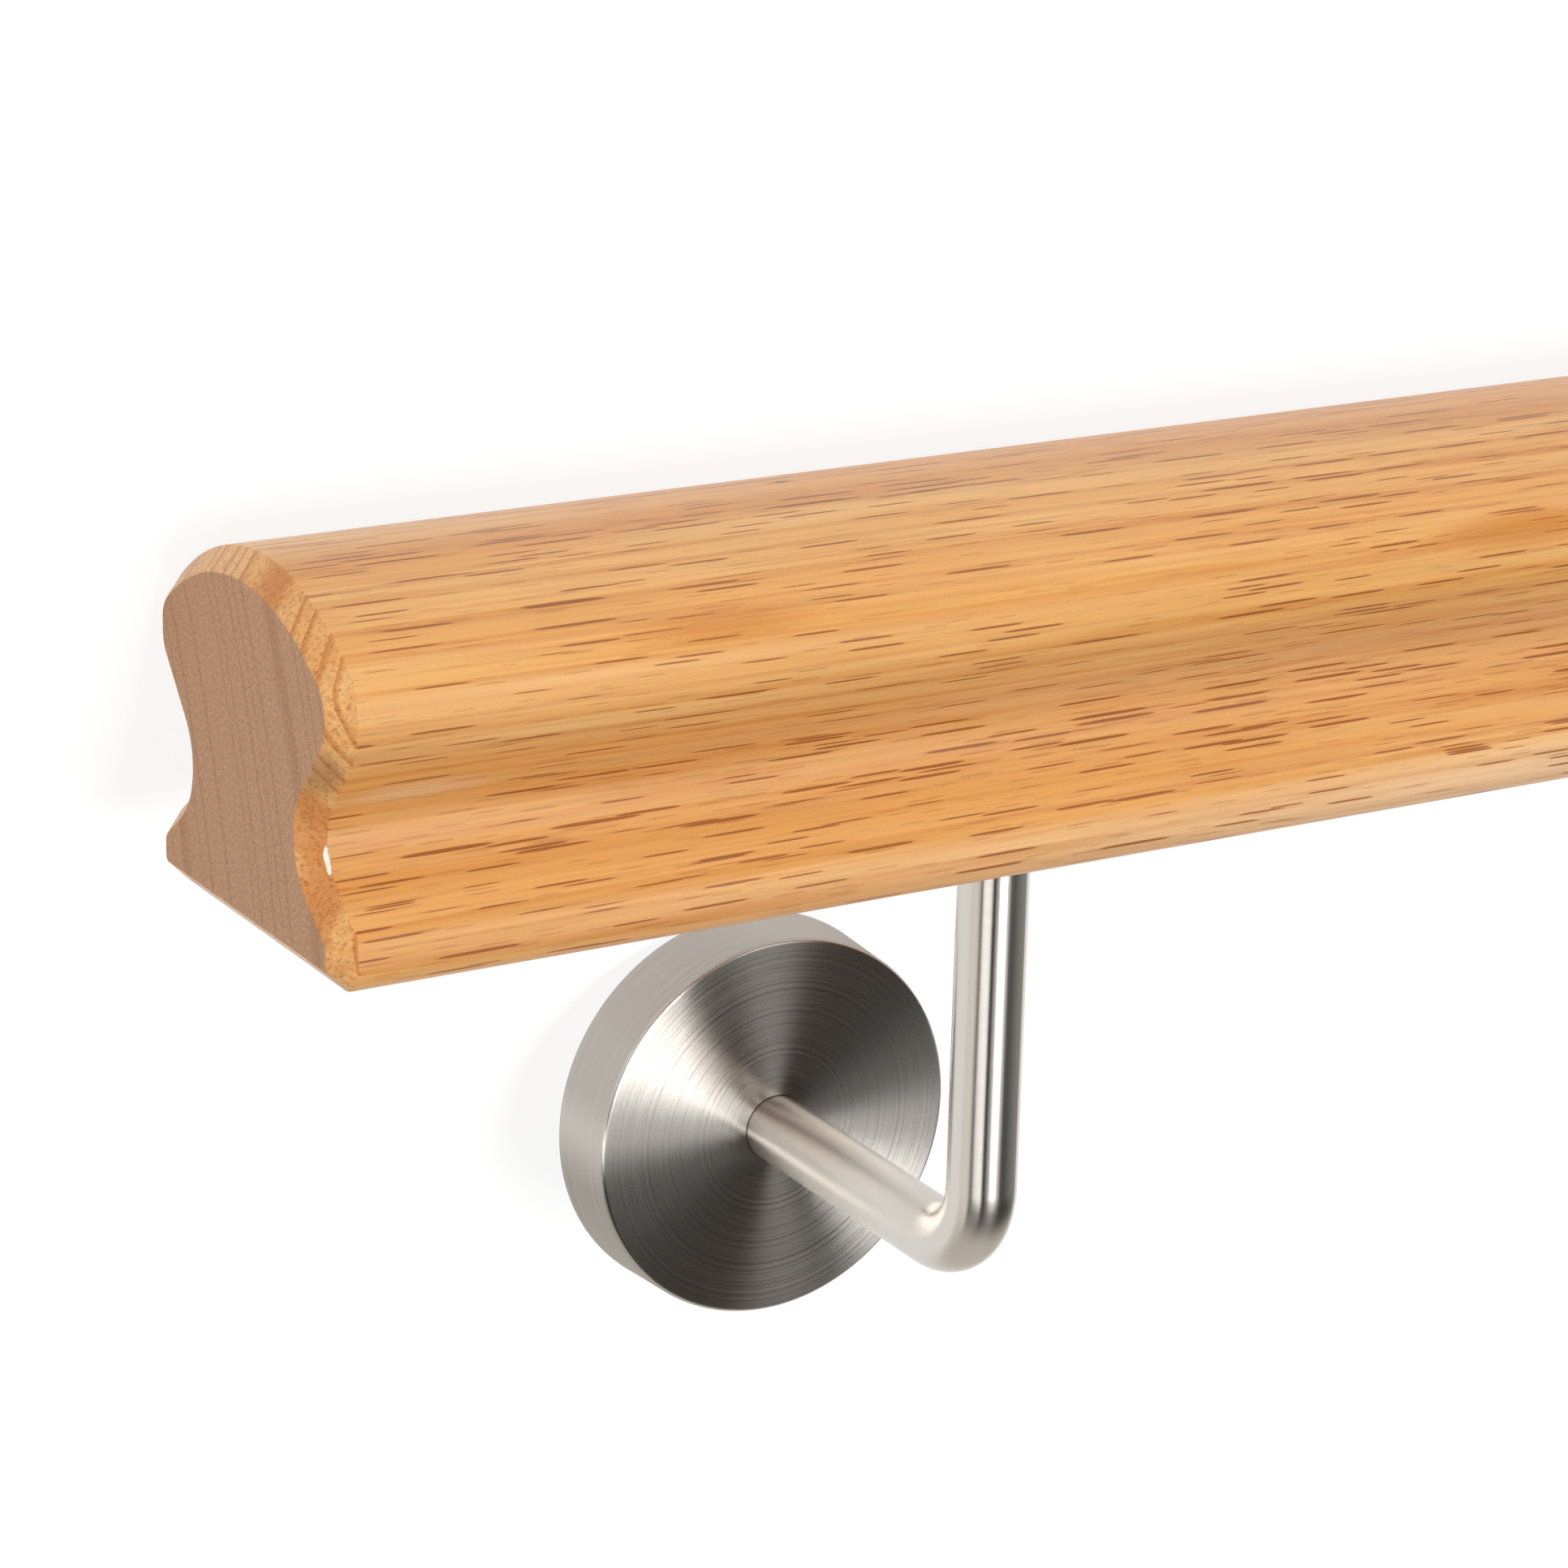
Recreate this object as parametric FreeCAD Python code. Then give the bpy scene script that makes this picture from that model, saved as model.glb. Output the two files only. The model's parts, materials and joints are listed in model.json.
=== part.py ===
"""Oak stair handrail length on two stainless wall brackets, lying on its back as it rests on a floor.

It is drawn as it hangs on a wall and turned to its resting pose at the end. As drawn, X runs along
the rail from its middle, Y runs from the rail's middle plane to the wall, Z is up, and Z = 0 is the
rail's flat underside.
"""
import FreeCAD
import Part
import math
import os

Vector = FreeCAD.Vector

# Handrail. The section's heights stack up from the underside to the crown.
rail_length = 1200.0
rail_width = 64.0
waist_width = 43.0
side_height = 9.5
flare_height = 12.3
cove_height = 15.7
head_height = 22.0
base_corner_radius = 4.5
flare_corner_radius = 5.5
waist_lower_radius = 8.3
waist_upper_radius = 8.0
bulge_corner_radius = 9.1
bulge_flat = 2.0
dome_side_radius = 8.4
end_chamfer = 3.6

# Brackets: a bent round rod between a saddle plate under the rail and a plate on the wall.
bracket_from_end = 135.0
wall_offset = 82.0
arm_drop = 80.0
rod_diameter = 12.0
rod_bend_radius = 14.0
saddle_length = 64.0
saddle_width = 25.0
saddle_thickness = 4.0
saddle_corner_radius = 4.0
wall_plate_thickness = 5.0
wall_hole_diameter = 5.5
wall_hole_circle = 46.0
wall_hole_count = 3

# Cover rosette: a thin cap that slides along the rod and snaps over the wall plate. It spreads to the wall.
cover_face_diameter = 71.0
cover_spread = 0.8
cover_depth = 14.5
cover_wall = 1.5
cover_edge_radius = 0.8

# Countersunk wood screws that hold the saddle plates to the rail.
screw_from_saddle_end = 10.0
screw_diameter = 4.0
screw_head_diameter = 8.0
screw_length = 25.0
screw_point_length = 4.0
recess_width = 0.9
recess_span = 4.2
recess_depth = 1.4

# Clearances of the fits, each on the radius.
cover_rod_clearance = 0.15
cover_plate_clearance = 0.25
screw_hole_clearance = 0.2
screw_head_clearance = 0.1
pilot_clearance = 0.1

# A rounding takes at most this share of the wall that limits it.
rounding_share = 0.65


def slant_angle(run, rise, radius):
    """Angle of the outward normal of a line tangent to an arc that starts run inwards and rise away."""
    inwards = radius - run
    return math.atan2(rise, inwards) - math.acos(radius / math.hypot(inwards, rise))


# Section geometry worked out from the sizes, on the wall side of the middle plane.
half_width = rail_width / 2
waist_run = half_width - waist_width / 2
waist_height = side_height + flare_height
bulge_height = waist_height + cove_height
rail_height = bulge_height + head_height
flare_normal = slant_angle(waist_run, flare_height, waist_lower_radius)
cove_normal = slant_angle(waist_run, cove_height, waist_upper_radius)
flare_arc_height = side_height - flare_corner_radius * math.tan(flare_normal / 2)
bulge_arc_height = bulge_height + bulge_corner_radius * math.tan(cove_normal / 2)
base_radius = min(base_corner_radius, flare_arc_height)
spring_height = bulge_arc_height + bulge_flat
dome_rise = rail_height - spring_height
dome_side = min(dome_side_radius, rounding_share * dome_rise)
dome_reach = half_width - dome_side
dome_radius = (dome_reach ** 2 + dome_rise ** 2 - dome_side ** 2) / (2 * (dome_rise - dome_side))
dome_joint = math.atan2(dome_radius - dome_rise, dome_reach)

# Bracket geometry worked out from the sizes.
rod_radius = rod_diameter / 2
arm_height = -arm_drop
wall_plate_front = wall_offset - wall_plate_thickness
cover_front = wall_offset - cover_depth
cover_face_radius = cover_face_diameter / 2
cover_back_radius = cover_face_radius + cover_spread
cover_taper = cover_spread / cover_depth
wall_plate_radius = (
    cover_back_radius - cover_wall - cover_taper * wall_plate_thickness - cover_plate_clearance
)
bracket_stations = {
    "left": bracket_from_end - rail_length / 2,
    "right": rail_length / 2 - bracket_from_end,
}


def section_arcs():
    """Arcs of the section from the underside up to the crown: centre, radius, sign, first and last angle.

    The sign is 1 on a round that bulges out and -1 on a hollow.
    """
    lower_centre = (waist_width / 2 + waist_lower_radius, waist_height)
    upper_centre = (waist_width / 2 + waist_upper_radius, waist_height)
    return [
        ((half_width - base_radius, base_radius), base_radius, 1, -math.pi / 2, 0.0),
        ((half_width - flare_corner_radius, flare_arc_height), flare_corner_radius, 1, 0.0, flare_normal),
        (lower_centre, waist_lower_radius, -1, math.pi + flare_normal, math.pi),
        (upper_centre, waist_upper_radius, -1, math.pi, math.pi - cove_normal),
        ((half_width - bulge_corner_radius, bulge_arc_height), bulge_corner_radius, 1, -cove_normal, 0.0),
        ((dome_reach, spring_height), dome_side, 1, 0.0, dome_joint),
    ]


def mirrored(arc):
    """The same arc on the room side of the middle plane, run through the other way."""
    (across, height), radius, sign, first, last = arc
    return (-across, height), radius, sign, math.pi - last, math.pi - first


def arc_point(arc, share, inset, station):
    """Point at a share of an arc's sweep, with the outline drawn in by inset."""
    (across, height), radius, sign, first, last = arc
    angle = first + share * (last - first)
    reach = radius - sign * inset
    return Vector(station, across + reach * math.cos(angle), height + reach * math.sin(angle))


def section_wire(station, inset):
    """Closed outline of the rail at one station along it, drawn in by inset."""
    side = section_arcs()
    crown = ((0.0, rail_height - dome_radius), dome_radius, 1, dome_joint, math.pi - dome_joint)
    arcs = side + [crown] + [mirrored(arc) for arc in reversed(side)]
    edges = []
    for index, arc in enumerate(arcs):
        start = arc_point(arc, 0.0, inset, station)
        previous_end = arc_point(arcs[index - 1], 1.0, inset, station)
        if previous_end.distanceToPoint(start) > Part.Precision.confusion():
            edges.append(Part.makeLine(previous_end, start))
        middle = arc_point(arc, 0.5, inset, station)
        end = arc_point(arc, 1.0, inset, station)
        edges.append(Part.Arc(start, middle, end).toShape())
    return Part.Wire(edges)


def screw_positions(station):
    """Places along the rail of one bracket's two screws, by letter."""
    reach = saddle_length / 2 - screw_from_saddle_end
    return {"a": station - reach, "b": station + reach}


def screw_blank(station, spread, head_spread):
    """Outline solid of one screw, standing up from the saddle's lower face, grown by two clearances."""
    shank = screw_diameter / 2 + spread
    head = screw_head_diameter / 2 + head_spread
    foot = -saddle_thickness
    tip = foot + screw_length
    shoulder = tip - screw_point_length
    outline = [
        Vector(0, 0, foot),
        Vector(head, 0, foot),
        Vector(shank, 0, foot + head - shank),
        Vector(shank, 0, shoulder),
        Vector(0, 0, tip + spread),
    ]
    face = Part.Face(Part.makePolygon(outline + outline[:1]))
    solid = face.revolve(Vector(0, 0, 0), Vector(0, 0, 1), 360)
    solid.translate(Vector(station, 0, 0))
    return solid


def make_handrail():
    """One length of moulded oak with chamfered ends and pilot holes for the saddle screws."""
    end = rail_length / 2
    shoulder = end - end_chamfer
    body = Part.Face(section_wire(-shoulder, 0.0)).extrude(Vector(2 * shoulder, 0, 0))
    ends = []
    for side in (-1, 1):
        wires = [section_wire(side * shoulder, 0.0), section_wire(side * end, end_chamfer)]
        ends.append(Part.makeLoft(wires, True, True))
    rail = body.fuse(ends).removeSplitter()
    for station in bracket_stations.values():
        for place in screw_positions(station).values():
            rail = rail.cut(screw_blank(place, pilot_clearance, pilot_clearance))
    return rail


def make_rod(station):
    """Round rod from the saddle plate down, round the bend and along the arm to the wall plate."""
    top = Vector(station, 0, -saddle_thickness)
    bend_start = Vector(station, 0, arm_height + rod_bend_radius)
    lean = rod_bend_radius * (1 - math.cos(math.pi / 4))
    bend_middle = Vector(station, lean, arm_height + lean)
    bend_end = Vector(station, rod_bend_radius, arm_height)
    arm_end = Vector(station, wall_plate_front, arm_height)
    path = Part.Wire([
        Part.makeLine(top, bend_start),
        Part.Arc(bend_start, bend_middle, bend_end).toShape(),
        Part.makeLine(bend_end, arm_end),
    ])
    ring = Part.Wire(Part.makeCircle(rod_radius, top, Vector(0, 0, -1)))
    return path.makePipeShell([ring], True, False)


def make_saddle_plate(station):
    """Flat plate under the rail, with two countersunk screw holes."""
    corner = Vector(station - saddle_length / 2, -saddle_width / 2, -saddle_thickness)
    plate = Part.makeBox(saddle_length, saddle_width, saddle_thickness, corner)
    uprights = [edge for edge in plate.Edges if abs(edge.tangentAt(edge.FirstParameter).z) > 0.5]
    plate = plate.makeFillet(saddle_corner_radius, uprights)
    for place in screw_positions(station).values():
        plate = plate.cut(screw_blank(place, screw_hole_clearance, screw_head_clearance))
    return plate


def make_saddle_screw(place):
    """Countersunk wood screw with a cross recess."""
    screw = screw_blank(place, 0.0, 0.0)
    foot = -saddle_thickness
    for size in ((recess_span, recess_width), (recess_width, recess_span)):
        corner = Vector(place - size[0] / 2, -size[1] / 2, foot)
        screw = screw.cut(Part.makeBox(size[0], size[1], recess_depth, corner))
    return screw


def make_wall_plate(station):
    """Round plate against the wall, with its screw holes on a circle."""
    towards_wall = Vector(0, 1, 0)
    centre = Vector(station, wall_plate_front, arm_height)
    plate = Part.makeCylinder(wall_plate_radius, wall_plate_thickness, centre, towards_wall)
    for index in range(wall_hole_count):
        angle = math.pi / 2 + 2 * math.pi * index / wall_hole_count
        radius = wall_hole_circle / 2
        place = centre + Vector(radius * math.cos(angle), 0, radius * math.sin(angle))
        hole = Part.makeCylinder(wall_hole_diameter / 2, wall_plate_thickness, place, towards_wall)
        plate = plate.cut(hole)
    return plate


def make_cover_rosette(station):
    """Tapered cap round the rod, open to the wall, with a softened front edge."""
    hole = rod_radius + cover_rod_clearance
    inner_front = cover_front + cover_wall
    inner_radius = cover_face_radius - cover_wall + cover_taper * cover_wall
    outline = [
        Vector(hole, cover_front, 0),
        Vector(cover_face_radius, cover_front, 0),
        Vector(cover_back_radius, wall_offset, 0),
        Vector(cover_back_radius - cover_wall, wall_offset, 0),
        Vector(inner_radius, inner_front, 0),
        Vector(hole, inner_front, 0),
    ]
    face = Part.Face(Part.makePolygon(outline + outline[:1]))
    cap = face.revolve(Vector(0, 0, 0), Vector(0, 1, 0), 360)
    rim = [
        edge for edge in cap.Edges
        if isinstance(edge.Curve, Part.Circle) and math.isclose(edge.Curve.Radius, cover_face_radius)
    ]
    cap = cap.makeFillet(cover_edge_radius, rim)
    cap.translate(Vector(station, 0, arm_height))
    return cap


def make_all():
    """Every piece by name, as it hangs on a wall."""
    pieces = {"handrail": make_handrail()}
    for side, station in bracket_stations.items():
        pieces[f"saddle_plate_{side}"] = make_saddle_plate(station)
        pieces[f"bracket_rod_{side}"] = make_rod(station)
        pieces[f"wall_plate_{side}"] = make_wall_plate(station)
        pieces[f"cover_rosette_{side}"] = make_cover_rosette(station)
        for name, place in screw_positions(station).items():
            pieces[f"saddle_screw_{side}_{name}"] = make_saddle_screw(place)
    return pieces


def lay_down(pieces):
    """Turn the pieces about X until the covers' upper back rims and the rail's back lie on the floor.

    The floor touches the dome's side round and the rims, so its slope is that of their common tangent.
    The origin is under the middle of the whole object.
    """
    away = wall_offset - dome_reach
    below = spring_height - (arm_height + cover_back_radius)
    floor_normal = math.acos(dome_side / math.hypot(away, below)) - math.atan2(below, away)
    turn = FreeCAD.Rotation(Vector(1, 0, 0), -90 - math.degrees(floor_normal))
    for shape in pieces.values():
        shape.Placement = FreeCAD.Placement(Vector(0, 0, 0), turn).multiply(shape.Placement)
    box = Part.makeCompound(list(pieces.values())).optimalBoundingBox(False, False)
    shift = Vector(-box.Center.x, -box.Center.y, -box.ZMin)
    for shape in pieces.values():
        shape.translate(shift)


def main():
    os.makedirs("parts", exist_ok=True)
    pieces = make_all()
    lay_down(pieces)
    for name, shape in pieces.items():
        shape.exportStep(f"parts/{name}.step")


main()
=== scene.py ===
"""Looks of an oak stair handrail length on two stainless wall brackets, built round its packed frame.

The pieces are drawn in the rail's own axes, as it hangs on a wall: X along the rail from its middle,
Y from the rail's middle plane to the wall, Z up from the flat underside. One matrix lays them down
where the frame has them. Sizes are in metres.
"""

import json
import math

import bmesh
import bpy
from bpy.props import FloatProperty, FloatVectorProperty, PointerProperty
from mathutils import Matrix, Vector, noise


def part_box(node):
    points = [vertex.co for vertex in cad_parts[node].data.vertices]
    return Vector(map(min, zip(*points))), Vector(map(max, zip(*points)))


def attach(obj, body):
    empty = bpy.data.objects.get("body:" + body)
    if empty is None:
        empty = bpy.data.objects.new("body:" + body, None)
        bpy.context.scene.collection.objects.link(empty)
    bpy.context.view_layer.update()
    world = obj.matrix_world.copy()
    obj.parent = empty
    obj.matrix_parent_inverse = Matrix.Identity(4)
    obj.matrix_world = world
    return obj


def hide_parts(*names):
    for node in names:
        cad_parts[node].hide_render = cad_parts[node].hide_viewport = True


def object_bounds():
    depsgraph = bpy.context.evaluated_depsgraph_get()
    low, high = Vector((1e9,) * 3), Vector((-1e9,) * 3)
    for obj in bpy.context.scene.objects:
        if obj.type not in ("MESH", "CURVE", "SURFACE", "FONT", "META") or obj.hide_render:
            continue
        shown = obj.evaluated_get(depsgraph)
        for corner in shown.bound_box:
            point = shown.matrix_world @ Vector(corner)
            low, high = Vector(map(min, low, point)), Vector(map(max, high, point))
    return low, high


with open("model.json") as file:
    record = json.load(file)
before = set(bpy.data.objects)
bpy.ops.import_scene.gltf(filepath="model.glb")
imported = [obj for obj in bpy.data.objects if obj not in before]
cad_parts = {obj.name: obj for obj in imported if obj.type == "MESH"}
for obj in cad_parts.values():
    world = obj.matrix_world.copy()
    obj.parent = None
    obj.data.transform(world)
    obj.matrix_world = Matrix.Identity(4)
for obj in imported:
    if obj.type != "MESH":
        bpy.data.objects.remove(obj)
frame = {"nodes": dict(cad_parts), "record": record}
CAD_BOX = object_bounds()

bl_info = {
    "name": "Oak Handrail Length",
    "version": (1, 0, 0),
    "blender": (4, 5, 0),
    "location": "3D View > Sidebar > Handrail",
    "description": "Moulded oak handrail on stainless wall brackets, with its finishes and a plain studio",
    "category": "Object",
}

MM = 0.001
BODY = "root"
SIDES = ("left", "right")
SCREWS = ("a", "b")

# Sockets of the Mix node when it mixes colours.
MIX_FACTOR, MIX_A, MIX_B, MIX_RESULT = 0, 6, 7, 2


def hung_axes():
    """Matrix from the hanging rail's axes to the frame, read from the wall mounts and the rail's solid."""
    mounts = {mount["name"]: mount for mount in frame["record"]["mounts"]}
    along = Vector((1.0, 0.0, 0.0))
    to_wall = Vector(mounts["wall_face_left"]["axis"]).normalized()
    up = along.cross(to_wall)
    points = [vertex.co for vertex in frame["nodes"]["handrail"].data.vertices]
    across = [point.dot(to_wall) for point in points]
    heights = [point.dot(up) for point in points]
    ends = [point.x for point in points]
    origin = (
        along * (min(ends) + max(ends)) / 2
        + to_wall * (min(across) + max(across)) / 2
        + up * min(heights)
    )
    return Matrix.Translation(origin) @ Matrix((along, to_wall, up)).transposed().to_4x4()


HUNG = hung_axes()
TO_HUNG = HUNG.inverted()


def reach(node):
    """Lowest and highest corner of a CAD node in the hanging rail's axes."""
    points = [TO_HUNG @ vertex.co for vertex in frame["nodes"][node].data.vertices]
    low = Vector(map(min, zip(*points)))
    high = Vector(map(max, zip(*points)))
    return low, high


RAIL_LOW, RAIL_HIGH = reach("handrail")
ROD_LOW, ROD_HIGH = reach("bracket_rod_left")
COVER_LOW, COVER_HIGH = reach("cover_rosette_left")
SADDLE_LOW, SADDLE_HIGH = reach("saddle_plate_left")


def linear(hex_colour):
    """Linear colour with alpha from an sRGB hex value."""
    channels = [int(hex_colour[start:start + 2], 16) / 255 for start in (1, 3, 5)]
    return tuple(c / 12.92 if c <= 0.04045 else ((c + 0.055) / 1.055) ** 2.4 for c in channels) + (1.0,)


def length(name, description, default):
    """A size in metres that a user may change."""
    return FloatProperty(name=name, description=description, default=default, unit="LENGTH", precision=5)


def colour(name, description, hex_colour):
    """A colour that a user may change."""
    return FloatVectorProperty(
        name=name, description=description, default=linear(hex_colour), subtype="COLOR", size=4, min=0, max=1
    )


class RailSizes(bpy.types.PropertyGroup):
    """Sizes of the oak rail and its moulded section."""

    rail_length: length("Length", "From end to end", RAIL_HIGH.x - RAIL_LOW.x)
    width: length("Width", "Across the bulges", RAIL_HIGH.y - RAIL_LOW.y)
    height: length("Height", "From the underside to the crown", RAIL_HIGH.z - RAIL_LOW.z)
    waist_width: length("Waist width", "Across the finger grooves", 43.0 * MM)
    side_height: length("Side height", "Upright side above the underside", 9.5 * MM)
    flare_height: length("Flare height", "From the side to the waist", 12.3 * MM)
    cove_height: length("Cove height", "From the waist to the bulge", 15.7 * MM)
    base_corner: length("Base corner", "Radius of the lower edge", 4.5 * MM)
    flare_corner: length("Flare corner", "Radius above the upright side", 5.5 * MM)
    waist_lower: length("Lower hollow", "Radius of the groove below the waist", 8.3 * MM)
    waist_upper: length("Upper hollow", "Radius of the groove above the waist", 8.0 * MM)
    bulge_corner: length("Bulge corner", "Radius above the cove", 9.1 * MM)
    bulge_flat: length("Bulge flat", "Upright stretch of the bulge", 2.0 * MM)
    dome_side: length("Dome side", "Radius between the bulge and the crown", 8.4 * MM)
    end_chamfer: length("End chamfer", "Chamfer round each end", 3.6 * MM)
    arris: length("Arris", "Radius of the sanded edges of the chamfer", 0.35 * MM)
    point_step: length("Point step", "Spacing of the points round the section", 0.6 * MM)


class BracketSizes(bpy.types.PropertyGroup):
    """Sizes of the rods, rosettes and welds."""

    rod_diameter: length("Rod diameter", "Round bar of the bracket", ROD_HIGH.x - ROD_LOW.x)
    bend_radius: length("Bend radius", "Of the rod's middle line", 14.0 * MM)
    saddle_thickness: length("Saddle thickness", "Plate under the rail", SADDLE_HIGH.z - SADDLE_LOW.z)
    cover_back: length("Rosette diameter", "Of the cover where it meets the wall", COVER_HIGH.x - COVER_LOW.x)
    cover_depth: length("Rosette depth", "Of the cover from the wall", COVER_HIGH.y - COVER_LOW.y)
    cover_spread: length("Rosette spread", "How far the side leans out on its way to the wall", 0.8 * MM)
    cover_wall: length("Rosette wall", "Thickness of the cover's sheet", 1.5 * MM)
    cover_edge: length("Rosette edge", "Radius of the front edge", 0.8 * MM)
    cover_gap: length("Rosette gap", "Clearance round the rod", 0.15 * MM)
    weld_leg: length("Weld leg", "Size of the weld round the rod under the saddle", 1.2 * MM)


class OakColours(bpy.types.PropertyGroup):
    """Colours of the oak."""

    pale: colour("Pale", "Pale stripes of the long grain", "#E9B775")
    gold: colour("Gold", "Common colour of the long grain", "#E1A45B")
    streak: colour("Streak", "Orange-brown streaks", "#C5772C")
    pore: colour("Pore", "Open pores under the lacquer", "#8A420E")
    # Also laid thin as painted shade in the hollow of the left end's chamfer.
    knot_and_shade: colour("Knot", "Eye of a pin knot", "#4A2612")
    # Painted sheen and light: pinkish pale laid on the groove, the lower edge and a patch near the left end.
    painted_sheen: colour("Haze", "Lacquer rubbed pale in the groove", "#EACBAE")
    bare: colour("Bare fibre", "Fibre torn bare at a chip", "#F8EFE2")
    end: colour("End grain", "Sawn end", "#C59B7B")
    end_ring: colour("End ring", "Growth ring lines on the sawn end", "#946449")


class SteelColours(bpy.types.PropertyGroup):
    """Colours of the metals."""

    stainless: colour("Stainless", "Brushed and polished stainless steel", "#D3CEC7")
    weld: colour("Weld", "Weld with a trace of heat tint", "#B9AFA0")
    zinc: colour("Zinc", "Zinc plating of the screws", "#C3C8CC")


class StudioSettings(bpy.types.PropertyGroup):
    """Camera, floor and lamps."""

    lens: FloatProperty(
        name="Lens", description="Focal length on a 36 mm sensor", default=114.9, unit="CAMERA",
    )
    camera_place: FloatVectorProperty(
        name="Camera place", description="From the middle of the left end's lower edge, in the rail's axes",
        default=(-296.7 * MM, -648.7 * MM, 257.4 * MM), unit="LENGTH", subtype="TRANSLATION",
    )
    camera_yaw: FloatProperty(
        name="Camera yaw", description="Turn of the view along the rail", default=math.radians(31.08),
        subtype="ANGLE",
    )
    camera_dip: FloatProperty(
        name="Camera dip", description="How far the view looks down", default=math.radians(18.05),
        subtype="ANGLE",
    )
    camera_roll: FloatProperty(
        name="Camera roll", description="Lean of the view", default=math.radians(1.43), subtype="ANGLE",
    )
    paper: colour("Paper", "White floor", "#F4F4F4")
    left_wall: colour("Left wall", "Pale wall of the studio", "#FFFAF4")
    right_wall: colour("Right wall", "Grey band low on the shaded wall of the studio", "#A2A4A0")
    back_wall: colour("Back wall", "Wall of the studio below the rail", "#DAD4CC")
    ceiling: colour("Ceiling", "Dark ceiling of the studio", "#221E1D")


def add_node(tree, kind, settings=None, inputs=None):
    """Add a node with its settings, and give each named input a value or a link."""
    node = tree.nodes.new(kind)
    for name, value in (settings or {}).items():
        setattr(node, name, value)
    for name, value in (inputs or {}).items():
        if isinstance(value, bpy.types.NodeSocket):
            tree.links.new(value, node.inputs[name])
        else:
            node.inputs[name].default_value = value
    return node


def new_material(name):
    """An empty node material and its output node."""
    material = bpy.data.materials.new(name)
    material.use_nodes = True
    material.node_tree.nodes.clear()
    output = add_node(material.node_tree, "ShaderNodeOutputMaterial")
    return material, material.node_tree, output


def laid_over(tree, base, pattern, start, full, strength, top):
    """Colour laid over a base, from none where a pattern is at start to its strength where it is at full."""
    cover = add_node(
        tree, "ShaderNodeMapRange", {"interpolation_type": "SMOOTHSTEP"},
        {"Value": pattern, "From Min": start, "From Max": full, "To Min": 0.0, "To Max": strength},
    ).outputs["Result"]
    return add_node(
        tree, "ShaderNodeMix", {"data_type": "RGBA"}, {MIX_FACTOR: cover, MIX_A: base, MIX_B: tuple(top)}
    ).outputs[MIX_RESULT]


# Oak. The pith lies beyond the wall side, below the rail, so the rings cross the section nearly upright.
PITH = (0.0, 171.0 * MM, -28.0 * MM)
RING_WIDTH = 5.2 * MM
RING_UNEVEN = 3.0
GRAIN_DRIFT = 4.0 * MM

# Half width of a vessel as a share of its cell in the pattern, and how much wider chance makes it. Then the
# share of it in late wood, and the share added in early wood.
LEAST_BORE = 0.18
BORE_CHANCE = 0.14
LATE_SHARE = 0.80
EARLY_SHARE = 0.35


def grain_scale(along, across):
    """Scale of a pattern that repeats about every along mm of the rail and every across mm of its section."""
    return (1 / (along * MM), 1 / (across * MM), 1 / (across * MM))


def grain_noise(tree, place, along, across, detail):
    """Cloudy pattern drawn out along the rail, about along mm long and across mm wide."""
    drawn_out = add_node(
        tree, "ShaderNodeMapping", {"vector_type": "POINT"},
        {"Vector": place, "Scale": grain_scale(along, across)},
    ).outputs["Vector"]
    return add_node(
        tree, "ShaderNodeTexNoise", {"noise_dimensions": "3D"},
        {"Vector": drawn_out, "Scale": 1.0, "Detail": detail, "Roughness": 0.55},
    )


def vessels(tree, place, early, along, across):
    """Distance from the nearest vessel in its own radii: thin spindles, larger in the early wood."""
    drawn_out = add_node(
        tree, "ShaderNodeMapping", {"vector_type": "POINT"},
        {"Vector": place, "Scale": grain_scale(along, across)},
    ).outputs["Vector"]
    cell = add_node(
        tree, "ShaderNodeTexVoronoi", {"voronoi_dimensions": "3D", "feature": "F1", "distance": "MINKOWSKI"},
        {"Vector": drawn_out, "Scale": 1.0, "Exponent": 3.0, "Randomness": 1.0},
    )
    chance = add_node(tree, "ShaderNodeSeparateColor", None, {"Color": cell.outputs["Color"]}).outputs["Red"]
    bore = add_node(
        tree, "ShaderNodeMath", {"operation": "MULTIPLY_ADD"}, {0: chance, 1: BORE_CHANCE, 2: LEAST_BORE}
    ).outputs["Value"]
    season = add_node(
        tree, "ShaderNodeMath", {"operation": "MULTIPLY_ADD"}, {0: early, 1: EARLY_SHARE, 2: LATE_SHARE}
    ).outputs["Value"]
    grown = add_node(tree, "ShaderNodeMath", {"operation": "MULTIPLY"}, {0: bore, 1: season}).outputs["Value"]
    return add_node(
        tree, "ShaderNodeMath", {"operation": "DIVIDE"}, {0: cell.outputs["Distance"], 1: grown}
    ).outputs["Value"]


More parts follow.
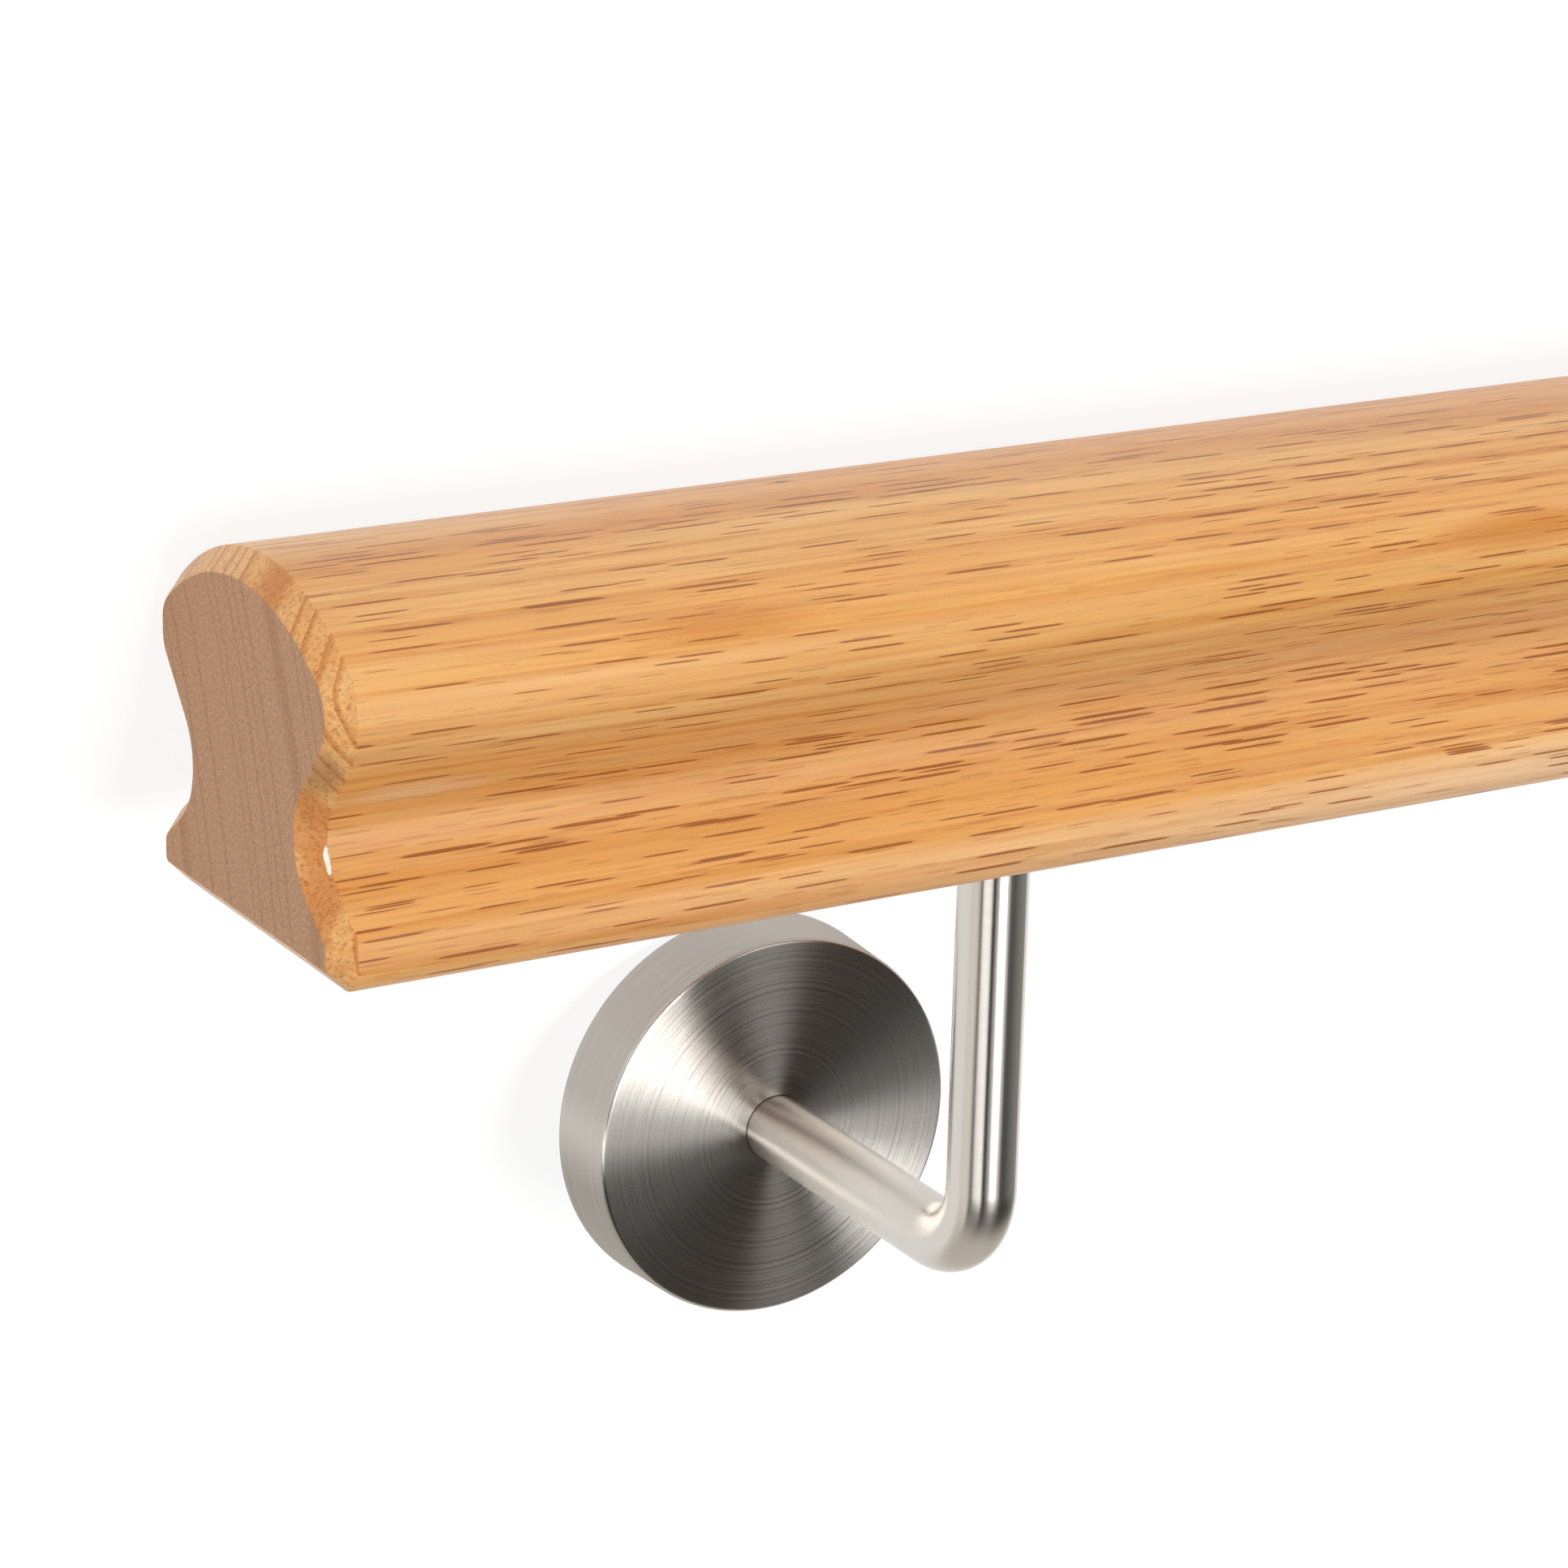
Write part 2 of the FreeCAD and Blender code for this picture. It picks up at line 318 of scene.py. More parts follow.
def oak_grain(tree):
    """Rings, pores, streaks and fibres of oak as solid patterns, right for any cut through the wood."""
    lying = add_node(tree, "ShaderNodeTexCoord").outputs["Object"]
    place = add_node(
        tree, "ShaderNodeMapping", {"vector_type": "POINT"},
        {"Vector": lying, "Location": TO_HUNG.translation, "Rotation": TO_HUNG.to_euler()},
    ).outputs["Vector"]
    wander = grain_noise(tree, place, 240, 70, 1.0).outputs["Color"]
    centred = add_node(
        tree, "ShaderNodeVectorMath", {"operation": "SUBTRACT"}, {0: wander, 1: (0.5, 0.5, 0.5)}
    ).outputs["Vector"]
    drift = add_node(
        tree, "ShaderNodeVectorMath", {"operation": "MULTIPLY"},
        {0: centred, 1: (0.0, GRAIN_DRIFT, GRAIN_DRIFT)},
    ).outputs["Vector"]
    grown = add_node(
        tree, "ShaderNodeVectorMath", {"operation": "ADD"}, {0: place, 1: drift}
    ).outputs["Vector"]

    section = add_node(
        tree, "ShaderNodeVectorMath", {"operation": "MULTIPLY"}, {0: grown, 1: (0.0, 1.0, 1.0)}
    ).outputs["Vector"]
    radius = add_node(
        tree, "ShaderNodeVectorMath", {"operation": "DISTANCE"}, {0: section, 1: PITH}
    ).outputs["Value"]
    season = add_node(
        tree, "ShaderNodeTexNoise", {"noise_dimensions": "1D"},
        {"W": radius, "Scale": 1 / (14 * MM), "Detail": 1.0},
    ).outputs["Fac"]
    rings = add_node(
        tree, "ShaderNodeMath", {"operation": "DIVIDE"}, {0: radius, 1: RING_WIDTH}
    ).outputs["Value"]
    uneven = add_node(
        tree, "ShaderNodeMath", {"operation": "MULTIPLY_ADD"}, {0: season, 1: RING_UNEVEN, 2: rings}
    ).outputs["Value"]
    phase = add_node(tree, "ShaderNodeMath", {"operation": "FRACT"}, {0: uneven}).outputs["Value"]
    early = add_node(
        tree, "ShaderNodeMapRange", {"interpolation_type": "SMOOTHSTEP"},
        {"Value": phase, "From Min": 0.5, "From Max": 0.0, "To Min": 0.0, "To Max": 1.0},
    ).outputs["Result"]
    return {
        "place": place,
        "early": early,
        "pores": vessels(tree, grown, early, 24, 0.85),
        "rays": vessels(tree, grown, early, 13, 0.7),
        # A single fibre is too fine to show, so the fibres and specks are drawn about half a millimetre wide.
        "tone": grain_noise(tree, grown, 210, 9, 2.0).outputs["Fac"],
        "streak": grain_noise(tree, grown, 95, 2.6, 2.0).outputs["Fac"],
        "stripe": grain_noise(tree, grown, 160, 1.1, 1.0).outputs["Fac"],
        "fibre": grain_noise(tree, grown, 45, 0.45, 2.0).outputs["Fac"],
        "speckle": grain_noise(tree, grown, 0.6, 0.6, 2.0).outputs["Fac"],
    }


# Marks in the wood: place from the left end's lower edge, half lengths, how far out from its middle it is
# whole, colour, and how much of it shows. The tones lie under the pores: painted sheen and light, pinkish
# pale, along the groove and along the lower edge. The marks lie over them: a pin knot in its halo, two stained
# patches, a painted sheen near the end, painted shade in the hollow of the chamfer, and bare fibre where a
# sliver is torn off.
TONES = (
    # Painted sheen and light along the groove.
    (Vector((600.0, -24.4, 28.0)) * MM, Vector((640.0, 7.0, 10.0)) * MM, 0.3, "painted_sheen", 0.50),
    # Painted sheen along the lower edge.
    (Vector((600.0, -33.0, 4.0)) * MM, Vector((640.0, 9.0, 9.5)) * MM, 0.4, "painted_sheen", 0.75),
)
MARKS = (
    (Vector((94.3, 3.4, 59.4)) * MM, Vector((3.6, 1.5, 1.5)) * MM, 0.4, "streak", 0.8),
    (Vector((94.3, 3.4, 59.4)) * MM, Vector((1.1, 0.7, 1.0)) * MM, 0.7, "knot_and_shade", 0.95),
    (Vector((66.0, -29.6, 48.7)) * MM, Vector((22.0, 6.0, 3.6)) * MM, 0.2, "streak", 0.55),
    (Vector((216.0, -31.3, 46.2)) * MM, Vector((26.0, 6.0, 4.6)) * MM, 0.2, "streak", 0.65),
    # Painted sheen near the left end.
    (Vector((17.0, -24.4, 28.0)) * MM, Vector((16.0, 4.0, 3.0)) * MM, 0.2, "painted_sheen", 0.35),
    # Painted shade in the hollow of the chamfer.
    (Vector((1.6, -23.0, 34.0)) * MM, Vector((3.6, 8.0, 6.5)) * MM, 0.45, "knot_and_shade", 0.34),
    (Vector((3.4, -22.4, 18.7)) * MM, Vector((0.4, 1.8, 2.7)) * MM, 0.7, "bare", 1.0),
)

# How far the rim of a mark strays, and the size of its tatters in mm.
MARK_RAGGED = 0.5 * MM
TATTER = 1.2


def ragged(tree, place):
    """Places in the wood, each strayed a little, so that a mark drawn with them has a ragged rim."""
    tatter = grain_noise(tree, place, TATTER, TATTER, 2.0).outputs["Color"]
    shift = add_node(
        tree, "ShaderNodeVectorMath", {"operation": "MULTIPLY_ADD"},
        {0: tatter, 1: (MARK_RAGGED,) * 3, 2: (-MARK_RAGGED / 2,) * 3},
    ).outputs["Vector"]
    return add_node(
        tree, "ShaderNodeVectorMath", {"operation": "ADD"}, {0: place, 1: shift}
    ).outputs["Vector"]


def marked(tree, base, place, colours, marks):
    """Lay marks over the wood."""
    for centre, half, whole, name, strength in marks:
        middle = centre + Vector((RAIL_LOW.x, 0.0, 0.0))
        away = add_node(
            tree, "ShaderNodeVectorMath", {"operation": "SUBTRACT"}, {0: place, 1: middle}
        ).outputs["Vector"]
        scaled = add_node(
            tree, "ShaderNodeVectorMath", {"operation": "DIVIDE"}, {0: away, 1: half}
        ).outputs["Vector"]
        distance = add_node(
            tree, "ShaderNodeVectorMath", {"operation": "LENGTH"}, {0: scaled}
        ).outputs["Value"]
        base = laid_over(tree, base, distance, 1.0, whole, strength, getattr(colours, name))
    return base


def lacquered_oak(name, colours, ring_strength, pore_strength, pit_strength):
    """Red oak, moulded, sanded and lacquered: warm gold with dashes of pores under a satin sheen."""
    material, tree, output = new_material(name)
    grain = oak_grain(tree)
    base = laid_over(tree, tuple(colours.pale), grain["tone"], 0.32, 0.66, 1.0, colours.gold)
    base = laid_over(tree, base, grain["early"], 0.0, 1.0, ring_strength, colours.streak)
    torn = ragged(tree, grain["place"])
    # Painted sheen and light along the groove and the lower edge.
    base = marked(tree, base, torn, colours, TONES)
    base = laid_over(tree, base, grain["streak"], 0.50, 0.76, 0.50, colours.streak)
    base = laid_over(tree, base, grain["stripe"], 0.50, 0.72, 0.25, colours.streak)
    base = laid_over(tree, base, grain["speckle"], 0.50, 0.70, pit_strength, colours.pore)
    base = laid_over(tree, base, grain["rays"], 1.0, 0.7, 0.28, colours.pore)
    base = laid_over(tree, base, grain["pores"], 2.0, 0.9, 0.18, colours.streak)
    base = laid_over(tree, base, grain["pores"], 1.0, 0.8, pore_strength, colours.pore)
    # Marks, among them a painted sheen near the left end and painted shade in the hollow of the chamfer.
    base = marked(tree, base, torn, colours, MARKS)
    texture = add_node(
        tree, "ShaderNodeMath", {"operation": "MULTIPLY_ADD"},
        {0: grain["speckle"], 1: 0.5, 2: grain["fibre"]},
    ).outputs["Value"]
    fibre = add_node(
        tree, "ShaderNodeMapRange", None,
        {"Value": texture, "From Min": 0.5, "From Max": 1.0, "To Min": 0.89, "To Max": 1.07},
    ).outputs["Result"]
    wood = add_node(
        tree, "ShaderNodeVectorMath", {"operation": "SCALE"}, {0: base, "Scale": fibre}
    ).outputs["Vector"]
    rough = add_node(
        tree, "ShaderNodeMapRange", None,
        {"Value": grain["fibre"], "From Min": 0.3, "From Max": 0.7, "To Min": 0.40, "To Max": 0.48},
    ).outputs["Result"]
    filled = add_node(
        tree, "ShaderNodeMath", {"operation": "MINIMUM"}, {0: grain["pores"], 1: 1.0}
    ).outputs["Value"]
    height = add_node(
        tree, "ShaderNodeMath", {"operation": "MULTIPLY_ADD"}, {0: grain["fibre"], 1: 0.3, 2: filled}
    ).outputs["Value"]
    relief = add_node(
        tree, "ShaderNodeBump", None, {"Strength": 0.15, "Distance": 0.05 * MM, "Height": height}
    ).outputs["Normal"]
    surface = add_node(
        tree, "ShaderNodeBsdfPrincipled", None,
        {
            "Base Color": wood, "Roughness": rough, "IOR": 1.5, "Normal": relief,
            "Coat Weight": 0.3, "Coat Roughness": 0.3, "Coat IOR": 1.5,
        },
    )
    tree.links.new(surface.outputs["BSDF"], output.inputs["Surface"])
    return material


def sawn_oak(name, colours):
    """Oak sawn across and left bare: dull grey-brown end grain with fine speckle and thin ring lines."""
    material, tree, output = new_material(name)
    grain = oak_grain(tree)
    base = laid_over(tree, tuple(colours.end), grain["early"], 0.6, 1.0, 0.29, colours.end_ring)
    base = laid_over(tree, base, grain["pores"], 1.0, 0.5, 0.30, colours.end_ring)
    speckle = add_node(
        tree, "ShaderNodeMapRange", None,
        {"Value": grain["speckle"], "From Min": 0.25, "From Max": 0.75, "To Min": 0.74, "To Max": 1.20},
    ).outputs["Result"]
    wood = add_node(
        tree, "ShaderNodeVectorMath", {"operation": "SCALE"}, {0: base, "Scale": speckle}
    ).outputs["Vector"]
    relief = add_node(
        tree, "ShaderNodeBump", None, {"Strength": 0.3, "Distance": 0.1 * MM, "Height": grain["speckle"]}
    ).outputs["Normal"]
    surface = add_node(
        tree, "ShaderNodeBsdfPrincipled", None,
        {"Base Color": wood, "Roughness": 0.85, "IOR": 1.5, "Specular IOR Level": 0.3, "Normal": relief},
    )
    tree.links.new(surface.outputs["BSDF"], output.inputs["Surface"])
    return material


def polished_stainless(name, colours):
    """Stainless bar, ground round and polished: clear bands along it, faintly wavy, blurred end to end."""
    material, tree, output = new_material(name)
    place = add_node(tree, "ShaderNodeUVMap", {"uv_map": "polish"}).outputs["UV"]
    # The lines left by grinding are too fine to show, so they are drawn 0.4 mm apart.
    line_place = add_node(
        tree, "ShaderNodeMapping", {"vector_type": "POINT"},
        {"Vector": place, "Scale": (1 / (9 * MM), 1 / (0.4 * MM), 1.0)},
    ).outputs["Vector"]
    lines = add_node(
        tree, "ShaderNodeTexNoise", {"noise_dimensions": "2D"},
        {"Vector": line_place, "Scale": 1.0, "Detail": 3.0, "Roughness": 0.6},
    ).outputs["Fac"]
    wave_place = add_node(
        tree, "ShaderNodeMapping", {"vector_type": "POINT"},
        {"Vector": place, "Scale": (1 / (7 * MM), 1 / (12 * MM), 1.0)},
    ).outputs["Vector"]
    waves = add_node(
        tree, "ShaderNodeTexNoise", {"noise_dimensions": "2D"},
        {"Vector": wave_place, "Scale": 1.0, "Detail": 1.0},
    ).outputs["Fac"]
    rough = add_node(
        tree, "ShaderNodeMapRange", None,
        {"Value": lines, "From Min": 0.3, "From Max": 0.7, "To Min": 0.24, "To Max": 0.26},
    ).outputs["Result"]
    relief = add_node(
        tree, "ShaderNodeBump", None, {"Strength": 0.05, "Distance": 0.12 * MM, "Height": waves}
    ).outputs["Normal"]
    tangent = add_node(
        tree, "ShaderNodeTangent", {"direction_type": "UV_MAP", "uv_map": "polish"}
    ).outputs["Tangent"]
    surface = add_node(
        tree, "ShaderNodeBsdfPrincipled", None,
        {
            "Base Color": tuple(colours.stainless), "Metallic": 1.0, "Roughness": rough,
            "Anisotropic": 0.8, "Anisotropic Rotation": 0.25, "Normal": relief, "Tangent": tangent,
        },
    )
    tree.links.new(surface.outputs["BSDF"], output.inputs["Surface"])
    return material


def turned_stainless(name, colours, least_rough, most_rough):
    """Stainless cap, turned on a lathe and brushed round: fine rings that spread light into radial fans."""
    material, tree, output = new_material(name)
    place = add_node(tree, "ShaderNodeUVMap", {"uv_map": "polish"}).outputs["UV"]
    from_rod = add_node(tree, "ShaderNodeSeparateXYZ", None, {"Vector": place}).outputs["Y"]
    # The brushed rings are too fine to show, so they are drawn 0.6 mm apart.
    lines = add_node(
        tree, "ShaderNodeTexNoise", {"noise_dimensions": "1D"},
        {"W": from_rod, "Scale": 1 / (0.6 * MM), "Detail": 3.0, "Roughness": 0.65},
    ).outputs["Fac"]
    rough = add_node(
        tree, "ShaderNodeMapRange", None,
        {"Value": lines, "From Min": 0.3, "From Max": 0.7, "To Min": least_rough, "To Max": most_rough},
    ).outputs["Result"]
    relief = add_node(
        tree, "ShaderNodeBump", None, {"Strength": 0.07, "Distance": 0.02 * MM, "Height": lines}
    ).outputs["Normal"]
    tangent = add_node(
        tree, "ShaderNodeTangent", {"direction_type": "UV_MAP", "uv_map": "polish"}
    ).outputs["Tangent"]
    surface = add_node(
        tree, "ShaderNodeBsdfPrincipled", None,
        {
            "Base Color": tuple(colours.stainless), "Metallic": 1.0, "Roughness": rough,
            "Anisotropic": 0.97, "Anisotropic Rotation": 0.25, "Normal": relief, "Tangent": tangent,
        },
    )
    tree.links.new(surface.outputs["BSDF"], output.inputs["Surface"])
    return material


def plain_metal(name, base_colour, least_rough, most_rough, grain_mm):
    """Sheet or fastener metal with uneven dullness from rolling, plating or heat."""
    material, tree, output = new_material(name)
    place = add_node(tree, "ShaderNodeTexCoord").outputs["Object"]
    cloud = add_node(
        tree, "ShaderNodeTexNoise", {"noise_dimensions": "3D"},
        {"Vector": place, "Scale": 1 / (grain_mm * MM), "Detail": 4.0},
    ).outputs["Fac"]
    rough = add_node(
        tree, "ShaderNodeMapRange", None,
        {"Value": cloud, "From Min": 0.3, "From Max": 0.7, "To Min": least_rough, "To Max": most_rough},
    ).outputs["Result"]
    shade = add_node(
        tree, "ShaderNodeMapRange", None,
        {"Value": cloud, "From Min": 0.3, "From Max": 0.7, "To Min": 0.88, "To Max": 1.0},
    ).outputs["Result"]
    base = add_node(
        tree, "ShaderNodeVectorMath", {"operation": "SCALE"}, {0: tuple(base_colour)[:3], "Scale": shade}
    ).outputs["Vector"]
    relief = add_node(
        tree, "ShaderNodeBump", None, {"Strength": 0.1, "Distance": 0.02 * MM, "Height": cloud}
    ).outputs["Normal"]
    surface = add_node(
        tree, "ShaderNodeBsdfPrincipled", None,
        {"Base Color": base, "Metallic": 1.0, "Roughness": rough, "Normal": relief},
    )
    tree.links.new(surface.outputs["BSDF"], output.inputs["Surface"])
    return material


def slant_angle(run, rise, radius):
    """Angle of the outward normal of a line tangent to an arc that starts run inwards and rise away."""
    inwards = radius - run
    return math.atan2(rise, inwards) - math.acos(radius / math.hypot(inwards, rise))


def section_arcs(rail):
    """Arcs round the section from the wall side's lower edge over the crown: centre, radius, sign, angles.

    The sign is 1 on a round that bulges out and -1 on a hollow.
    """
    half = rail.width / 2
    waist_run = half - rail.waist_width / 2
    waist_height = rail.side_height + rail.flare_height
    flare_normal = slant_angle(waist_run, rail.flare_height, rail.waist_lower)
    cove_normal = slant_angle(waist_run, rail.cove_height, rail.waist_upper)
    flare_height = rail.side_height - rail.flare_corner * math.tan(flare_normal / 2)
    bulge_height = waist_height + rail.cove_height + rail.bulge_corner * math.tan(cove_normal / 2)
    spring = bulge_height + rail.bulge_flat
    rise = rail.height - spring
    dome_reach = half - rail.dome_side
    crown = (dome_reach ** 2 + rise ** 2 - rail.dome_side ** 2) / (2 * (rise - rail.dome_side))
    joint = math.atan2(crown - rise, dome_reach)
    base = rail.base_corner
    lower = rail.waist_width / 2 + rail.waist_lower
    upper = rail.waist_width / 2 + rail.waist_upper
    side = [
        ((half - base, base), base, 1, -math.pi / 2, 0.0),
        ((half - rail.flare_corner, flare_height), rail.flare_corner, 1, 0.0, flare_normal),
        ((lower, waist_height), rail.waist_lower, -1, math.pi + flare_normal, math.pi),
        ((upper, waist_height), rail.waist_upper, -1, math.pi, math.pi - cove_normal),
        ((half - rail.bulge_corner, bulge_height), rail.bulge_corner, 1, -cove_normal, 0.0),
        ((dome_reach, spring), rail.dome_side, 1, 0.0, joint),
    ]
    over = [((0.0, rail.height - crown), crown, 1, joint, math.pi - joint)]
    room_side = [
        ((-across, height), radius, sign, math.pi - last, math.pi - first)
        for (across, height), radius, sign, first, last in reversed(side)
    ]
    return side + over + room_side


def arc_point(arc, part, inset):
    """Point at a part of an arc's sweep, with the outline drawn in by inset."""
    (across, height), radius, sign, first, last = arc
    angle = first + part * (last - first)
    grown = radius - sign * inset
    return Vector((across + grown * math.cos(angle), height + grown * math.sin(angle)))


# Fewest steps round an arc of the section, and the steps across a chamfer and round each of its edges.
LEAST_ARC_STEPS = 6
CHAMFER_STEPS = 4
ARRIS_STEPS = 4


def section_points(rail, inset):
    """Closed outline of the section drawn in by inset, with as many points at every inset."""
    arcs = section_arcs(rail)
    points = []
    for index, arc in enumerate(arcs):
        before = arcs[index - 1]
        gap = (arc_point(arc, 0.0, 0.0) - arc_point(before, 1.0, 0.0)).length
        line_steps = round(gap / rail.point_step)
        start = arc_point(arc, 0.0, inset)
        end = arc_point(before, 1.0, inset)
        for step in range(1, line_steps):
            points.append(end.lerp(start, step / line_steps))
        sweep = abs(arc[4] - arc[3]) * arc[1]
        arc_steps = max(LEAST_ARC_STEPS, round(sweep / rail.point_step))
        first_step = 0 if line_steps else 1
        for step in range(first_step, arc_steps + 1):
            points.append(arc_point(arc, step / arc_steps, inset))
    return points


def end_profile(rail):
    """Inset and setback of the rings from the end face's edge over the chamfer to the long side."""
    turn = math.pi / 4
    tangent = rail.arris * math.tan(turn / 2)
    rings = []
    for step in range(ARRIS_STEPS + 1):
        angle = turn * step / ARRIS_STEPS
        inset = rail.end_chamfer + tangent - rail.arris * math.sin(angle)
        rings.append((inset, rail.arris * (1 - math.cos(angle))))
    for step in range(1, CHAMFER_STEPS):
        part = step / CHAMFER_STEPS
        rings.append((rail.end_chamfer * (1 - part), rail.end_chamfer * part))
    for step in range(ARRIS_STEPS + 1):
        angle = turn * (1 - step / ARRIS_STEPS)
        setback = rail.end_chamfer + tangent - rail.arris * math.sin(angle)
        rings.append((rail.arris * (1 - math.cos(angle)), setback))
    return rings


# Stations past the chamfer, and along the rest of the rail, where its mesh has a ring.
NEAR_STATIONS = (0.4 * MM, 0.9 * MM, 1.5 * MM, 2.5 * MM, 5.0 * MM, 12.0 * MM)
FAR_RINGS = 24

# Material slots of the rail after its long grain.
CHAMFER, END_GRAIN = 1, 2


def skin(mesh, rings, closed=False):
    """Cover rings of as many vertices with bands of faces, and give each band's faces.

    The UV map "polish" runs round the rings and on from ring to ring, in metres.
    """
    polish = mesh.loops.layers.uv.new("polish")
    count = len(rings[0])
    girth = max(sum((ring[turn].co - ring[turn - 1].co).length for turn in range(count)) for ring in rings)
    bands = []
    travelled = 0.0
    for index in range(len(rings) if closed else len(rings) - 1):
        near, far = rings[index], rings[(index + 1) % len(rings)]
        gap = sum((second.co - first.co).length for first, second in zip(near, far)) / count
        band = []
        for turn in range(count):
            after = (turn + 1) % count
            face = mesh.faces.new((near[turn], near[after], far[after], far[turn]))
            corners = ((turn, 0), (turn + 1, 0), (turn + 1, 1), (turn, 1))
            for loop, (steps, crossed) in zip(face.loops, corners):
                loop[polish].uv = (steps * girth / count, travelled + crossed * gap)
            band.append(face)
        bands.append(band)
        travelled += gap
    return bands


# Edges that turn more than this are shaded sharp.
SHARP_TURN = math.radians(40)


def finish_mesh(name, mesh, place, materials):
    """Object from a bmesh, laid where place puts it, riding on the part's one body."""
    mesh.transform(place)
    bmesh.ops.recalc_face_normals(mesh, faces=mesh.faces)
    for edge in mesh.edges:
        edge.smooth = edge.calc_face_angle(0.0) < SHARP_TURN
    data = bpy.data.meshes.new(name)
    mesh.to_mesh(data)
    mesh.free()
    for material in materials:
        data.materials.append(material)
    data.polygons.foreach_set("use_smooth", [True] * len(data.polygons))
    piece = bpy.data.objects.new(name, data)
    bpy.context.scene.collection.objects.link(piece)
    weighted = piece.modifiers.new("even shading", "WEIGHTED_NORMAL")
    weighted.keep_sharp = True
    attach(piece, BODY)
    return piece


# Bed of the torn sliver: place from the left end's lower edge, half lengths, depth with the share of it that
# is sure and the share that chance adds, grain, and the way in.
SLIVER_PLACE = Vector((3.0, -22.3, 19.1)) * MM
SLIVER_HALF = Vector((0.8, 0.9, 3.0)) * MM
SLIVER_DEPTH = 0.6 * MM
SLIVER_SURE = 0.7
SLIVER_CHANCE = 0.5
SLIVER_GRAIN = 0.7 * MM
SLIVER_INWARDS = Vector((0.5, 0.86, 0.0))


def tear_sliver(mesh, left_end):
    """Press the ragged bed of the torn sliver into the arris of the left end."""
    for vertex in mesh.verts:
        away = vertex.co - left_end - SLIVER_PLACE
        distance = Vector((away.x / SLIVER_HALF.x, away.y / SLIVER_HALF.y, away.z / SLIVER_HALF.z)).length
        if distance < 1:
            share = SLIVER_SURE + SLIVER_CHANCE * noise.noise(vertex.co / SLIVER_GRAIN)
            vertex.co += SLIVER_INWARDS * SLIVER_DEPTH * share * (1 - distance ** 2)


class HANDRAIL_OT_oak_rail(bpy.types.Operator):
    """Build the moulded oak rail with its chamfered ends"""

    bl_idname = "handrail.oak_rail"
    bl_label = "Oak rail"

    def execute(self, context):
        rail = context.scene.handrail_rail
        colours = context.scene.handrail_oak
        half = rail.rail_length / 2
        profile = end_profile(rail)
        last_setback = profile[-1][1]
        places = [(-half + setback, inset) for inset, setback in profile]
        shoulder = half - last_setback
        places += [(-shoulder + station, 0.0) for station in NEAR_STATIONS]
        inner = shoulder - NEAR_STATIONS[-1]
        places += [(-inner + 2 * inner * step / FAR_RINGS, 0.0) for step in range(1, FAR_RINGS)]
        places += [(shoulder - station, 0.0) for station in reversed(NEAR_STATIONS)]
        places += [(half - setback, inset) for inset, setback in reversed(profile)]
        mesh = bmesh.new()
        rings = []
        for station, inset in places:
            points = section_points(rail, inset)
            rings.append([mesh.verts.new((station, point.x, point.y)) for point in points])
        bands = skin(mesh, rings)
        chamfer_bands = len(profile) - 1
        for band in bands[:chamfer_bands] + bands[-chamfer_bands:]:
            for face in band:
                face.material_index = CHAMFER
        for ring in (rings[0], rings[-1]):
            mesh.faces.new(ring).material_index = END_GRAIN
        tear_sliver(mesh, Vector((-half, 0.0, 0.0)))
        materials = [
            lacquered_oak("satin_lacquered_oak", colours, 0.33, 0.80, 0.05),
            lacquered_oak("lacquered_oak_chamfer", colours, 0.75, 0.30, 0.45),
            sawn_oak("sawn_oak_end_grain", colours),
        ]
        piece = finish_mesh("oak_rail", mesh, HUNG, materials)
        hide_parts("handrail")
        return {"FINISHED"}


ROD_SIDES = 72
BEND_STEPS = 28
STRAIGHT_STEPS = 6


def rod_path(bracket, station, wall_point):
    """Middle line of a bent rod from the saddle to the wall: points with the rod's direction at each."""
    down = Vector((0.0, 0.0, -1.0))
    to_wall = Vector((0.0, 1.0, 0.0))
    bend = bracket.bend_radius
    top = Vector((station, 0.0, -bracket.saddle_thickness))
    elbow = Vector((station, bend, wall_point.z + bend))
    drop = top.z - elbow.z
    path = [(top + down * drop * step / STRAIGHT_STEPS, down) for step in range(STRAIGHT_STEPS)]
    for step in range(BEND_STEPS + 1):
        angle = math.pi / 2 * step / BEND_STEPS
        out = to_wall * -math.cos(angle) + down * math.sin(angle)
        path.append((elbow + out * bend, down * math.cos(angle) + to_wall * math.sin(angle)))
    arm_start = path[-1][0]
    arm = wall_point - arm_start
    path += [(arm_start + arm * step / STRAIGHT_STEPS, to_wall) for step in range(1, STRAIGHT_STEPS + 1)]
    return path


class HANDRAIL_OT_bracket_rods(bpy.types.Operator):
    """Build the bent stainless rods of the brackets"""

    bl_idname = "handrail.bracket_rods"
    bl_label = "Bracket rods"

    def execute(self, context):
        bracket = context.scene.handrail_bracket
        material = polished_stainless("polished_stainless_bar", context.scene.handrail_steel)
        radius = bracket.rod_diameter / 2
        sideways = Vector((1.0, 0.0, 0.0))
        for side in SIDES:
            low, high = reach(f"bracket_rod_{side}")
            station = (low.x + high.x) / 2
            wall_point = Vector((station, high.y, low.z + radius))
            mesh = bmesh.new()
            rings = []
            for point, direction in rod_path(bracket, station, wall_point):
                outwards = direction.cross(sideways)
                turns = [2 * math.pi * corner / ROD_SIDES for corner in range(ROD_SIDES)]
                rings.append([
                    mesh.verts.new(point + (sideways * math.cos(turn) + outwards * math.sin(turn)) * radius)
                    for turn in turns
                ])
            skin(mesh, rings)
            mesh.faces.new(rings[0])
            mesh.faces.new(rings[-1])
            piece = finish_mesh(f"polished_rod_{side}", mesh, HUNG, [material])
            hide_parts(f"bracket_rod_{side}")
        return {"FINISHED"}


COVER_SIDES = 192
COVER_EDGE_STEPS = 6
FACE_RINGS = 14

# Material slots of the rosette: its brushed face, and its rim, which is turned coarser. The rim is where the
# normal points along the rod by less than this.
COVER_FACE, COVER_RIM = 0, 1
RIM_LEAN = 0.5


